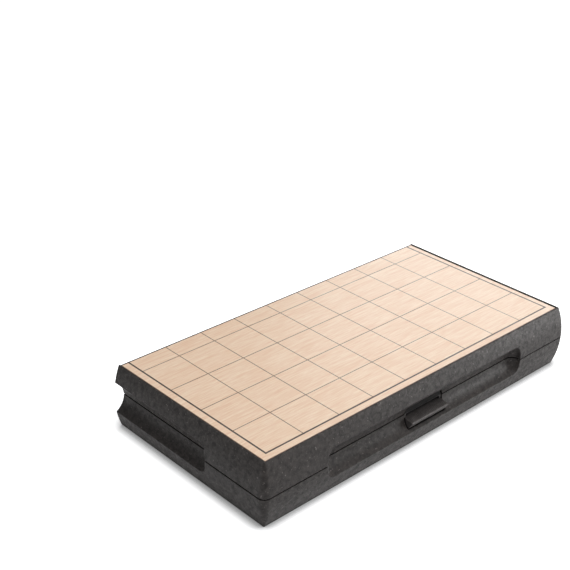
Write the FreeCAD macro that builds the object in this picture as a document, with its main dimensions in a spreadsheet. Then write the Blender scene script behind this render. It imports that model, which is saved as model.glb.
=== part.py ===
import FreeCAD, Part
import os
import Sketcher

# Folding magnetic shogi board, folded shut as a case.
# +X runs along the long side, +Y from the latch at the front to the hinge at the back, +Z is up.
# The origin is at the middle of the bottom face of the whole part. Lengths are in millimetres.

os.makedirs("parts", exist_ok=True)
doc = FreeCAD.newDocument("FoldingBoard")
Vector = FreeCAD.Vector

# Driving dimensions
sizes = doc.addObject("Spreadsheet::Sheet", "Sizes")
driving_values = {
    "columns": 9,
    "rows_in_half": 4.5,
    "column_pitch": 26.4,
    "row_pitch": 25.9,
    "side_margin": 5.3,
    "front_margin": 5.7,
    "rim_width": 0.9,
    "hinge_rim_width": 0.9,
    "hinge_rim_drop": 0.3,
    "half_height": 20.1,
    "wall_bulge": 4.0,
    "face_corner_radius": 0.5,
    "face_edge_round": 0.3,
    "seam_round": 0.35,
    "lip_round": 0.4,
    "hinge_plane_gap": 0.25,
    "parting_gap": 0.3,
    "steel_thickness": 0.5,
    "sheet_thickness": 0.4,
    "sheet_set_back": 0.15,
    "bed_clearance": 0.35,
    "sheet_right_gap": 1.0,
    "floor_thickness": 2.0,
    "recess_radius": 11.2,
    "recess_depth": 2.5,
    "recess_end_round": 5.5,
    "front_recess_length": 166.0,
    "side_recess_land": 42.8,
    "recess_wall": 2.2,
    "land_wall": 2.4,
    "land_rib": 3.0,
    "back_wall": 3.2,
    "cavity_round": 3.0,
    "storage_columns": 10,
    "storage_rows": 4,
    "rib_height": 1.0,
    "rib_thickness": 1.2,
    "hinge_station": 84.0,
    "knuckle_length": 12.0,
    "knuckle_gap": 0.35,
    "knuckle_radius": 3.0,
    "knuckle_clearance": 0.35,
    "hinge_pin_radius": 1.0,
    "pin_running_fit": 0.05,
    "pin_tight_fit": 0.02,
    "hinge_boss_depth": 5.2,
    "hinge_boss_margin": 3.0,
    "peg_radius": 1.4,
    "peg_height": 2.5,
    "peg_clearance": 0.35,
    "peg_wall_offset": 2.9,
    "peg_set_back": 24.0,
    "latch_width": 31.5,
    "latch_corner": 4.0,
    "latch_pocket_corner": 3.2,
    "latch_clearance": 0.35,
    "latch_end_clearance": 0.7,
    "latch_pivot_height": 2.2,
    "latch_pivot_set_in": 4.4,
    "latch_barrel_radius": 1.6,
    "latch_pin_radius": 0.8,
    "latch_pin_seat": 3.0,
    "latch_brow_drop": 0.2,
    "latch_groove_depth": 1.8,
    "latch_cheek_width": 1.0,
    "latch_web_thickness": 1.4,
    "latch_depth": 8.0,
    "latch_bottom_gap": 0.6,
    "latch_lip_root": 1.8,
    "latch_lip_drop": 2.55,
    "latch_lip_slope": 0.75,
    "latch_lip_thickness": 0.8,
    "latch_lip_set_back": 0.55,
    "latch_lip_round": 0.35,
    "latch_rib_pitch": 1.05,
    "latch_rib_height": 0.2,
    "latch_nose_radius": 0.4,
    "latch_nose_height": 6.6,
    "catch_rib_height": 5.2,
    "catch_rib_reach": 0.2,
    "latch_housing_wall": 1.6,
    "man_cell_inset": 4.1,
    "man_thickness": 5.0,
    "man_tip_thickness": 3.4,
    "magnet_place": 9.5,
    "magnet_radius": 4.5,
    "magnet_thickness": 1.5,
    "magnet_set_back": 0.1,
    "magnet_fit": 0.05,
    "king_width": 20.5,
    "king_length": 23.0,
    "major_width": 20.0,
    "major_length": 22.4,
    "general_width": 19.2,
    "general_length": 21.6,
    "knight_width": 18.4,
    "knight_length": 20.8,
    "lance_width": 17.2,
    "lance_length": 20.4,
    "pawn_width": 16.4,
    "pawn_length": 19.4,
    "overrun": 2.0,
}
for row, (alias, number) in enumerate(driving_values.items(), start=1):
    sizes.set(f"A{row}", alias.replace("_", " "))
    sizes.set(f"B{row}", str(number))
    sizes.setAlias(f"B{row}", alias)
doc.recompute()


def value(formula):
    """Number that a formula of the sheet's cells gives."""
    result = sizes.evalExpression(formula)
    return float(getattr(result, "Value", result))


same_length = 1e-4  # lengths nearer than this count as one

# Derived sizes, as formulas of the cells
half_length = ("(Sizes.columns * Sizes.column_pitch / 2 + Sizes.side_margin + Sizes.rim_width)")
body_half_length = f"({half_length} + Sizes.wall_bulge)"
face_depth = ("(Sizes.rim_width + Sizes.front_margin + Sizes.rows_in_half * Sizes.row_pitch"
              " + Sizes.hinge_rim_width - Sizes.hinge_plane_gap)")
total_depth = (f"({face_depth} + Sizes.wall_bulge + Sizes.hinge_plane_gap + Sizes.knuckle_radius)")
hinge_y = f"({total_depth} / 2 - Sizes.knuckle_radius)"
back_y = f"({hinge_y} - Sizes.hinge_plane_gap)"
front_y = f"({back_y} - {face_depth})"
wall_reach = "(Sizes.face_corner_radius + Sizes.wall_bulge)"
wall_arc_radius = ("((Sizes.half_height ^ 2 + Sizes.wall_bulge ^ 2) / (2 * Sizes.wall_bulge))")
bed_depth = "(Sizes.sheet_set_back + Sizes.sheet_thickness + Sizes.steel_thickness)"
cavity_depth = f"(Sizes.half_height - {bed_depth} - Sizes.floor_thickness)"
recess_axis_offset = "(Sizes.recess_radius - Sizes.recess_depth)"
recess_end_start = "(Sizes.recess_radius - Sizes.recess_end_round)"
cavity_margin = "(Sizes.recess_depth + Sizes.recess_wall)"
cavity_half_length = f"({half_length} - {cavity_margin})"
cavity_front_y = f"({front_y} + {cavity_margin})"
cavity_back_y = f"({back_y} - Sizes.back_wall)"
knuckle_pitch = "(Sizes.knuckle_length + Sizes.knuckle_gap)"
station_half = f"({knuckle_pitch} + Sizes.knuckle_length / 2)"
latch_half = "(Sizes.latch_width / 2)"
pocket_half = f"({latch_half} + Sizes.latch_end_clearance)"
pocket_back = ("(Sizes.latch_pivot_set_in + Sizes.latch_barrel_radius + Sizes.latch_clearance)")
pocket_top = ("(Sizes.latch_pivot_height + Sizes.latch_barrel_radius + Sizes.latch_clearance)")
brow_front = "(Sizes.latch_pivot_set_in - Sizes.latch_barrel_radius)"
web_front = f"({brow_front} + Sizes.latch_groove_depth)"
web_back = f"({web_front} + Sizes.latch_web_thickness)"
latch_pin_half = f"({pocket_half} + Sizes.latch_pin_seat)"
lip_y = f"({front_y} - Sizes.wall_bulge + Sizes.latch_lip_set_back)"
lip_reach = f"({front_y} + Sizes.latch_lip_root - {lip_y})"
lip_fall = f"(Sizes.latch_lip_slope / {lip_reach})"
plate_foot_y = (f"({front_y} - {recess_axis_offset}"
                " + sqrt(Sizes.recess_radius ^ 2 - Sizes.latch_depth ^ 2))")
cell_width = f"(2 * {cavity_half_length} / Sizes.storage_columns)"
cell_depth = f"(({cavity_back_y} - {cavity_front_y}) / Sizes.storage_rows)"
notch_back = f"({web_back} + Sizes.latch_nose_radius + 2 * Sizes.catch_rib_reach)"
notch_depth = "(Sizes.latch_depth + Sizes.latch_bottom_gap)"


def origin_plane(body, role):
    return next(f for f in body.Origin.OriginFeatures if f.Role == role)


def new_body(name):
    body = doc.addObject("PartDesign::Body", name)
    body.Label = name
    return body


def new_sketch(body, name, role, across="0", along="0", height="0"):
    """Sketch on an origin plane of its body, moved in that plane and along its normal."""
    sketch = body.newObject("Sketcher::SketchObject", name)
    sketch.AttachmentSupport = [(origin_plane(body, role), "")]
    sketch.MapMode = "FlatFace"
    sketch.setExpression("AttachmentOffset.Base.x", across)
    sketch.setExpression("AttachmentOffset.Base.y", along)
    sketch.setExpression("AttachmentOffset.Base.z", height)
    return sketch


def pin_point(sketch, edge, end, across, along):
    """Holds one end of an edge at a place that two formulas give."""
    for kind, formula in (("DistanceX", across), ("DistanceY", along)):
        if formula == "0":
            axis = -2 if kind == "DistanceX" else -1
            sketch.addConstraint(Sketcher.Constraint("PointOnObject", edge, end, axis))
            continue
        number = value(formula)
        index = sketch.addConstraint(Sketcher.Constraint(kind, -1, 1, edge, end, number))
        sketch.setExpression(f"Constraints[{index}]", formula)


def hold_radius(sketch, edge, formula):
    index = sketch.addConstraint(Sketcher.Constraint("Radius", edge, value(formula)))
    sketch.setExpression(f"Constraints[{index}]", formula)


def draw_outline(sketch, corners):
    """Closed outline. Each corner is (across, along), or (across, along, arc) where arc holds the
    centre and radius formulas of the arc that leads to the next corner, and its turn."""
    places = [Vector(value(corner[0]), value(corner[1]), 0) for corner in corners]
    edges = []
    for step, corner in enumerate(corners):
        start = places[step]
        end = places[(step + 1) % len(corners)]
        if len(corner) == 2:
            edges.append((sketch.addGeometry(Part.LineSegment(start, end)), 1, 2))
            continue
        centre = Vector(value(corner[2]["across"]), value(corner[2]["along"]), 0)
        circle = Part.Circle(centre, Vector(0, 0, 1), value(corner[2]["radius"]))
        turn = corner[2]["turn"]
        first, last = (start, end) if turn > 0 else (end, start)
        arc = Part.ArcOfCircle(circle, circle.parameter(first), circle.parameter(last))
        ends = (1, 2) if turn > 0 else (2, 1)
        edges.append((sketch.addGeometry(arc), *ends))
    following_edges = edges[1:] + edges[:1]
    for (edge, _, finish), (following, start, _) in zip(edges, following_edges):
        sketch.addConstraint(Sketcher.Constraint("Coincident", edge, finish, following, start))
    for (edge, start, _), corner in zip(edges, corners):
        pin_point(sketch, edge, start, corner[0], corner[1])
        if len(corner) == 3:
            hold_radius(sketch, edge, corner[2]["radius"])


def arc(across, along, radius, turn):
    return {"across": across, "along": along, "radius": radius, "turn": turn}


def negative(formula, side):
    """The formula, or its negative on the left side."""
    return formula if side > 0 else f"-({formula})"


def draw_rectangle(sketch, low_across, low_along, high_across, high_along):
    draw_outline(sketch, [(low_across, low_along), (high_across, low_along),
                          (high_across, high_along), (low_across, high_along)])


def draw_circle(sketch, across, along, radius):
    centre = Vector(value(across), value(along), 0)
    edge = sketch.addGeometry(Part.Circle(centre, Vector(0, 0, 1), value(radius)))
    pin_point(sketch, edge, 3, across, along)
    hold_radius(sketch, edge, radius)


def add_feature(body, kind, name, sketch, length=None, reach="One side", flip=False, through=False):
    """Pad or Pocket of a sketch."""
    feature = body.newObject(f"PartDesign::{kind}", name)
    feature.Profile = sketch
    feature.SideType = reach
    feature.Reversed = flip
    if through:
        feature.Type = "ThroughAll"
    else:
        feature.setExpression("Length", length)
    return feature


def add_turned(body, kind, name, sketch, axis, quarter=False, flip=False):
    """Revolution or Groove of a sketch, a full or a quarter turn about one of its own axes."""
    feature = body.newObject(f"PartDesign::{kind}", name)
    feature.Profile = sketch
    feature.ReferenceAxis = (sketch, [axis])
    feature.Angle = 90 if quarter else 360
    feature.Reversed = flip
    return feature


def add_pattern(body, name, originals, count, pitch, axis_role="X_Axis", count_across=None,
                pitch_across=None):
    """Straight rows of features, along one axis or two."""
    pattern = body.newObject("PartDesign::LinearPattern", name)
    pattern.Originals = originals
    pattern.Direction = (origin_plane(body, axis_role), [""])
    pattern.Mode = "Spacing"
    pattern.setExpression("Offset", pitch)
    pattern.setExpression("Occurrences", count)
    if count_across is not None:
        pattern.Direction2 = (origin_plane(body, "Y_Axis"), [""])
        pattern.Mode2 = "Spacing"
        pattern.setExpression("Offset2", pitch_across)
        pattern.Occurrences2 = 1  # drops the zero spacing that a new pattern starts with
        pattern.Occurrences2 = round(value(count_across))
        pattern.setExpression("Occurrences2", count_across)
    body.Tip = pattern
    return pattern


def add_rounding(body, name, radius, choose):
    """Fillet of the edges of the body's last feature that choose() picks."""
    doc.recompute()
    base = body.Tip
    names = [f"Edge{number}" for number, edge in enumerate(base.Shape.Edges, start=1)
             if choose(base.Shape, edge)]
    rounding = body.newObject("PartDesign::Fillet", name)
    rounding.Base = (base, names)
    rounding.setExpression("Radius", radius)
    return rounding


def close(number, other):
    return abs(number - other) < same_length


def face_radius(face):
    return getattr(face.Surface, "Radius", 0.0)


def faces_beside(shape, edge):
    return shape.ancestorsOfType(edge, Part.Face)


def on_face_outline(shape, edge):
    """Edges round the playing face, other than the one at the hinge."""
    middle = edge.CenterOfMass
    at_face = close(middle.z, value("Sizes.half_height"))
    return at_face and not close(middle.y, value(back_y))


def on_recess_lip(shape, edge):
    """Edges where the finger recesses meet the bulging walls."""
    radii = [face_radius(face) for face in faces_beside(shape, edge)]
    scoop = any(close(radius, value("Sizes.recess_radius")) for radius in radii)
    wall = any(close(radius, value(wall_arc_radius)) for radius in radii)
    return scoop and wall


def on_cavity_corner(shape, edge):
    """Upright edges at the outermost corners of the storage cavity and its bays."""
    middle = edge.CenterOfMass
    across = abs(middle.x)
    at_back = close(across, value(cavity_half_length)) and close(middle.y, value(cavity_back_y))
    at_front = (close(across, value(f"{half_length} - Sizes.land_wall"))
                and close(middle.y, value(f"{front_y} + Sizes.land_wall")))
    return at_back or at_front


def on_seam(shape, edge):
    """Edges round the parting face, other than the one at the hinge."""
    ends = [point.Point for point in edge.Vertexes]
    at_seam = ends and all(close(end.z, value("Sizes.parting_gap")) for end in ends)
    at_back = all(close(end.y, value(back_y)) for end in ends)
    return at_seam and not at_back


# Folding trays. Each is drawn in its own frame: z is 0 at the parting plane and half_height at the
# playing face. The upper one is lifted into place and the lower one turned over about its Y axis.
def wall_foot(height):
    """How far inside its widest place the bulging wall stands at a height from the parting plane."""
    return f"({wall_arc_radius} - sqrt({wall_arc_radius} ^ 2 - {height} ^ 2))"


def draw_shell(body):
    """Closed block with a flat back, bulging front and sides, and corners turned alike."""
    bulge_y = f"({front_y} - Sizes.wall_bulge)"
    profile = new_sketch(body, "FrontProfile", "YZ_Plane")
    draw_outline(profile, [
        (back_y, "Sizes.parting_gap"),
        (back_y, "Sizes.half_height"),
        (front_y, "Sizes.half_height",
         arc(f"{bulge_y} + {wall_arc_radius}", "0", wall_arc_radius, 1)),
        (f"{bulge_y} + {wall_foot('Sizes.parting_gap')}", "Sizes.parting_gap"),
    ])
    add_feature(body, "Pad", "Block", profile, f"2 * {body_half_length}", "Symmetric")
    ends = new_sketch(body, "SideProfiles", "XZ_Plane")
    for side in (1, -1):
        outside = negative(f"({body_half_length} + Sizes.overrun)", side)
        edge = negative(half_length, side)
        foot = negative(f"({body_half_length} - {wall_foot('Sizes.overrun')})", side)
        centre = negative(f"({body_half_length} - {wall_arc_radius})", side)
        draw_outline(ends, [
            (edge, "Sizes.half_height", arc(centre, "0", wall_arc_radius, -side)),
            (foot, "-Sizes.overrun"),
            (outside, "-Sizes.overrun"),
            (outside, "Sizes.half_height + Sizes.overrun"),
            (edge, "Sizes.half_height + Sizes.overrun"),
        ])
    add_feature(body, "Pocket", "SideWalls", ends, reach="Symmetric", through=True)
    for side, name in ((1, "Right"), (-1, "Left")):
        corner = new_sketch(body, f"{name}CornerProfile", "XZ_Plane",
                            across=negative(f"({half_length} - Sizes.face_corner_radius)", side),
                            height=f"-({front_y} + Sizes.face_corner_radius)")
        outside = negative("(2 * Sizes.wall_bulge + Sizes.overrun)", side)
        edge = negative("Sizes.face_corner_radius", side)
        foot = negative(f"({wall_reach} - {wall_foot('Sizes.overrun')})", side)
        centre = negative(f"({wall_reach} - {wall_arc_radius})", side)
        draw_outline(corner, [
            (edge, "Sizes.half_height", arc(centre, "0", wall_arc_radius, -side)),
            (foot, "-Sizes.overrun"),
            (outside, "-Sizes.overrun"),
            (outside, "Sizes.half_height + Sizes.overrun"),
            (edge, "Sizes.half_height + Sizes.overrun"),
        ])
        add_turned(body, "Groove", f"{name}Corner", corner, "V_Axis", quarter=True, flip=side > 0)
    add_rounding(body, "FaceEdge", "Sizes.face_edge_round", on_face_outline)


def cut_recesses(body):
    """Finger recesses: flat-ended scoops turned about axes that lie in the parting plane."""
    axis_y = f"({front_y} - {recess_axis_offset})"
    end_x = "Sizes.front_recess_length / 2"
    radius = "Sizes.recess_radius"
    corner = "Sizes.recess_end_round"
    front = new_sketch(body, "FrontRecessProfile", "XY_Plane", along=axis_y)
    draw_outline(front, [
        (f"-{end_x}", "0"),
        (f"-{end_x}", recess_end_start,
         arc(f"-{end_x} + {corner}", recess_end_start, corner, -1)),
        (f"-{end_x} + {corner}", radius),
        (f"{end_x} - {corner}", radius, arc(f"{end_x} - {corner}", recess_end_start, corner, -1)),
        (end_x, recess_end_start),
        (end_x, "0"),
    ])
    add_turned(body, "Groove", "FrontRecess", front, "H_Axis")
    end_y = f"({front_y} + Sizes.side_recess_land)"
    for side, name in ((1, "Right"), (-1, "Left")):
        axis_x = negative(f"({half_length} + {recess_axis_offset})", side)
        profile = new_sketch(body, f"{name}RecessProfile", "XY_Plane", across=axis_x)
        deepest = negative(radius, -side)
        start = negative(recess_end_start, -side)
        draw_outline(profile, [
            ("0", end_y),
            (start, end_y, arc(start, f"{end_y} + {corner}", corner, -side)),
            (deepest, f"{end_y} + {corner}"),
            (deepest, f"{back_y} + Sizes.overrun"),
            ("0", f"{back_y} + Sizes.overrun"),
        ])
        add_turned(body, "Groove", f"{name}Recess", profile, "V_Axis")
    add_rounding(body, "RecessLips", "Sizes.lip_round", on_recess_lip)
    add_rounding(body, "SeamEdge", "Sizes.seam_round", on_seam)


def cut_bed_and_cavity(body):
    """Bed for the two sheets in the playing face, with a lower rim at the hinge, and the storage
    cavity behind it."""
    bed = new_sketch(body, "BedOutline", "XY_Plane", height="Sizes.half_height")
    bed_x = f"({half_length} - Sizes.rim_width)"
    draw_rectangle(bed, f"-{bed_x}", f"{front_y} + Sizes.rim_width", bed_x,
                   f"{back_y} - Sizes.hinge_rim_width")
    add_feature(body, "Pocket", "Bed", bed, bed_depth)
    step = new_sketch(body, "HingeRimStep", "XY_Plane", height="Sizes.half_height")
    draw_rectangle(step, f"-{bed_x}", f"{back_y} - Sizes.hinge_rim_width - Sizes.bed_clearance",
                   bed_x, f"{back_y} + Sizes.overrun")
    add_feature(body, "Pocket", "LowerHingeRim", step, "Sizes.sheet_set_back + Sizes.hinge_rim_drop")
    cavity = new_sketch(body, "CavityOutline", "XY_Plane")
    draw_rectangle(cavity, f"-{cavity_half_length}", cavity_front_y, cavity_half_length,
                   cavity_back_y)
    add_feature(body, "Pocket", "Cavity", cavity, cavity_depth, flip=True)
    bays = new_sketch(body, "CornerBayOutlines", "XY_Plane")
    for side in (1, -1):
        inner = negative("(Sizes.front_recess_length / 2 + Sizes.land_rib)", side)
        outer = negative(f"({half_length} - Sizes.land_wall)", side)
        low, high = (inner, outer) if side > 0 else (outer, inner)
        draw_rectangle(bays, low, f"{front_y} + Sizes.land_wall", high,
                       f"{front_y} + Sizes.side_recess_land - Sizes.land_rib")
    add_feature(body, "Pocket", "CornerBays", bays, cavity_depth, flip=True)
    add_rounding(body, "CavityCorners", "Sizes.cavity_round", on_cavity_corner)


def add_storage_ribs(body):
    """Low crossing ribs on the cavity's floor, one cell for each man."""
    long_rib = new_sketch(body, "LongRibOutline", "XY_Plane", height=cavity_depth)
    first_y = f"({cavity_front_y} + {cell_depth})"
    draw_rectangle(long_rib, f"-{cavity_half_length}", f"{first_y} - Sizes.rib_thickness / 2",
                   cavity_half_length, f"{first_y} + Sizes.rib_thickness / 2")
    rib = add_feature(body, "Pad", "LongRib", long_rib, "Sizes.rib_height", flip=True)
    add_pattern(body, "LongRibs", [rib], "Sizes.storage_rows - 1", cell_depth, "Y_Axis")
    cross_rib = new_sketch(body, "CrossRibOutline", "XY_Plane", height=cavity_depth)
    first_x = f"(-{cavity_half_length} + {cell_width})"
    draw_rectangle(cross_rib, f"{first_x} - Sizes.rib_thickness / 2", cavity_front_y,
                   f"{first_x} + Sizes.rib_thickness / 2", cavity_back_y)
    rib = add_feature(body, "Pad", "CrossRib", cross_rib, "Sizes.rib_height", flip=True)
    add_pattern(body, "CrossRibs", [rib], "Sizes.storage_columns - 1", cell_width)


def knuckle_spans(outer):
    """Middles of the knuckles, as formulas: the two outer ones or the middle one of each hinge."""
    spans = []
    for side in (1, -1):
        station = negative("Sizes.hinge_station", side)
        if outer:
            spans.append(f"({station} - {knuckle_pitch})")
            spans.append(f"({station} + {knuckle_pitch})")
        else:
            spans.append(f"({station})")
    return spans


def add_hinge(body, outer, pin_fit):
    """Bosses inside the back wall, this tray's knuckles, room for the other's, and the bores."""
    bosses = new_sketch(body, "HingeBossOutlines", "XY_Plane", height="Sizes.parting_gap")
    for side in (1, -1):
        middle = negative("Sizes.hinge_station", side)
        reach = f"({station_half} + Sizes.hinge_boss_margin)"
        draw_rectangle(bosses, f"{middle} - {reach}", f"{back_y} - Sizes.hinge_boss_depth",
                       f"{middle} + {reach}", back_y)
    add_feature(body, "Pad", "HingeBosses", bosses,
                f"{cavity_depth} + Sizes.floor_thickness / 2 - Sizes.parting_gap")
    room = new_sketch(body, "KnuckleRoomProfile", "XY_Plane", along=hinge_y)
    for middle in knuckle_spans(not outer):
        half = "(Sizes.knuckle_length / 2 + Sizes.knuckle_gap)"
        draw_rectangle(room, f"{middle} - {half}", "0", f"{middle} + {half}",
                       "Sizes.knuckle_radius + Sizes.knuckle_clearance")
    add_turned(body, "Groove", "KnuckleRoom", room, "H_Axis")
    knuckles = new_sketch(body, "KnuckleProfile", "XY_Plane", along=hinge_y)
    for middle in knuckle_spans(outer):
        draw_rectangle(knuckles, f"{middle} - Sizes.knuckle_length / 2", "0",
                       f"{middle} + Sizes.knuckle_length / 2", "Sizes.knuckle_radius")
    add_turned(body, "Revolution", "Knuckles", knuckles, "H_Axis")
    bores = new_sketch(body, "HingeBoreProfile", "XY_Plane", along=hinge_y)
    for side in (1, -1):
        middle = negative("Sizes.hinge_station", side)
        draw_rectangle(bores, f"{middle} - {station_half} - Sizes.knuckle_gap", "0",
                       f"{middle} + {station_half} + Sizes.knuckle_gap",
                       f"Sizes.hinge_pin_radius + {pin_fit}")
    add_turned(body, "Groove", "HingeBores", bores, "H_Axis")


def add_pegs(body, sockets):
    """Locating pegs on the front corners of the rim, or their sockets."""
    places = new_sketch(body, "PegPlaces", "XY_Plane",
                        height="0" if sockets else "Sizes.parting_gap")
    radius = "Sizes.peg_radius + Sizes.peg_clearance" if sockets else "Sizes.peg_radius"
    for side in (1, -1):
        draw_circle(places, negative(f"({body_half_length} - Sizes.peg_wall_offset)", side),
                    f"{front_y} + Sizes.peg_set_back", radius)
    if sockets:
        depth = "Sizes.peg_height + Sizes.peg_clearance"
        add_feature(body, "Pocket", "PegSockets", places, depth, flip=True)
    else:
        add_feature(body, "Pad", "Pegs", places, "Sizes.peg_height + Sizes.parting_gap", flip=True)


def add_latch_housing(body, half_width, back):
    """Block inside the front wall round a pocket for the latch."""
    block = new_sketch(body, "LatchHousingOutline", "XY_Plane", height="Sizes.parting_gap")
    draw_rectangle(block, f"-{half_width}", f"{cavity_front_y} - Sizes.recess_wall / 2",
                   half_width, f"{front_y} + {back} + Sizes.latch_housing_wall")
    add_feature(body, "Pad", "LatchHousing", block,
                f"{cavity_depth} + Sizes.floor_thickness / 2 - Sizes.parting_gap")


def cut_latch_pocket(body):
    """Arched pocket in the upper tray's front wall, and the bore for the latch's pin."""
    add_latch_housing(body, f"({latch_pin_half} + Sizes.latch_housing_wall)", pocket_back)
    arch = new_sketch(body, "LatchPocketProfile", "XZ_Plane",
                      height=f"-({front_y} + {pocket_back})")
    corner = "Sizes.latch_pocket_corner"  # tighter than the latch's own, so its ends clear as it swings
    draw_outline(arch, [
        (f"-{pocket_half}", "-Sizes.overrun"),
        (f"-{pocket_half}", f"{pocket_top} - {corner}",
         arc(f"-{pocket_half} + {corner}", f"{pocket_top} - {corner}", corner, -1)),
        (f"-{pocket_half} + {corner}", pocket_top),
        (f"{pocket_half} - {corner}", pocket_top,
         arc(f"{pocket_half} - {corner}", f"{pocket_top} - {corner}", corner, -1)),
        (pocket_half, f"{pocket_top} - {corner}"),
        (pocket_half, "-Sizes.overrun"),
    ])
    add_feature(body, "Pocket", "LatchPocket", arch,
                f"{pocket_back} + Sizes.wall_bulge + Sizes.overrun", flip=True)
    bore = new_sketch(body, "LatchBoreProfile", "XY_Plane",
                      along=f"{front_y} + Sizes.latch_pivot_set_in",
                      height="Sizes.latch_pivot_height")
    draw_rectangle(bore, f"-{latch_pin_half}", "0", latch_pin_half,
                   "Sizes.latch_pin_radius + Sizes.pin_tight_fit")
    add_turned(body, "Groove", "LatchBore", bore, "H_Axis")


def cut_latch_notch(body):
    """Notch in the lower tray's front wall for the latch's plate, and the catch rib in it."""
    add_latch_housing(body, f"({pocket_half} + Sizes.latch_housing_wall)", notch_back)
    opening = new_sketch(body, "LatchNotchProfile", "XZ_Plane",
                         height=f"-({front_y} + {notch_back})")
    draw_rectangle(opening, f"-{pocket_half}", "-Sizes.overrun", pocket_half, notch_depth)
    add_feature(body, "Pocket", "LatchNotch", opening,
                f"{notch_back} + Sizes.wall_bulge + Sizes.overrun", flip=True)
    rib = new_sketch(body, "CatchRibProfile", "YZ_Plane")
    draw_circle(rib, f"{front_y} + {notch_back}", "Sizes.catch_rib_height", "Sizes.catch_rib_reach")
    add_feature(body, "Pad", "CatchRib", rib, latch_half, "Symmetric")


def make_tray(name, upper):
    body = new_body(name)
    draw_shell(body)
    cut_recesses(body)
    cut_bed_and_cavity(body)
    add_storage_ribs(body)
    add_pegs(body, sockets=upper)
    if upper:
        cut_latch_pocket(body)
    else:
        cut_latch_notch(body)
    add_hinge(body, not upper, "Sizes.pin_running_fit" if upper else "Sizes.pin_tight_fit")
    if not upper:
        body.Placement.Rotation = FreeCAD.Rotation(Vector(0, 1, 0), 180)
    body.setExpression("Placement.Base.z", "Sizes.half_height")
    return body


# Sheets in the beds of the playing faces
def make_sheet(name, thickness, lowest):
    sheet = doc.addObject("Part::Box", name)
    sheet.Label = name
    bed_x = f"({half_length} - Sizes.rim_width)"
    sheet.setExpression("Length", f"2 * {bed_x} - Sizes.bed_clearance - Sizes.sheet_right_gap")
    sheet.setExpression("Width", f"{face_depth} - Sizes.rim_width - Sizes.hinge_rim_width"
                        " - 2 * Sizes.bed_clearance")
    sheet.setExpression("Height", thickness)
    sheet.setExpression("Placement.Base.x", f"Sizes.bed_clearance - {bed_x}")
    sheet.setExpression("Placement.Base.y", f"{front_y} + Sizes.rim_width + Sizes.bed_clearance")
    sheet.setExpression("Placement.Base.z", lowest)
    return sheet


# Steel pins, lying along X
def make_pin(name, radius, half, middle, along, height):
    pin = doc.addObject("Part::Cylinder", name)
    pin.Label = name
    pin.setExpression("Radius", radius)
    pin.setExpression("Height", f"2 * {half}")
    pin.Placement.Rotation = FreeCAD.Rotation(Vector(0, 1, 0), 90)
    pin.setExpression("Placement.Base.x", f"{middle} - {half}")
    pin.setExpression("Placement.Base.y", along)
    pin.setExpression("Placement.Base.z", height)
    return pin


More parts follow.
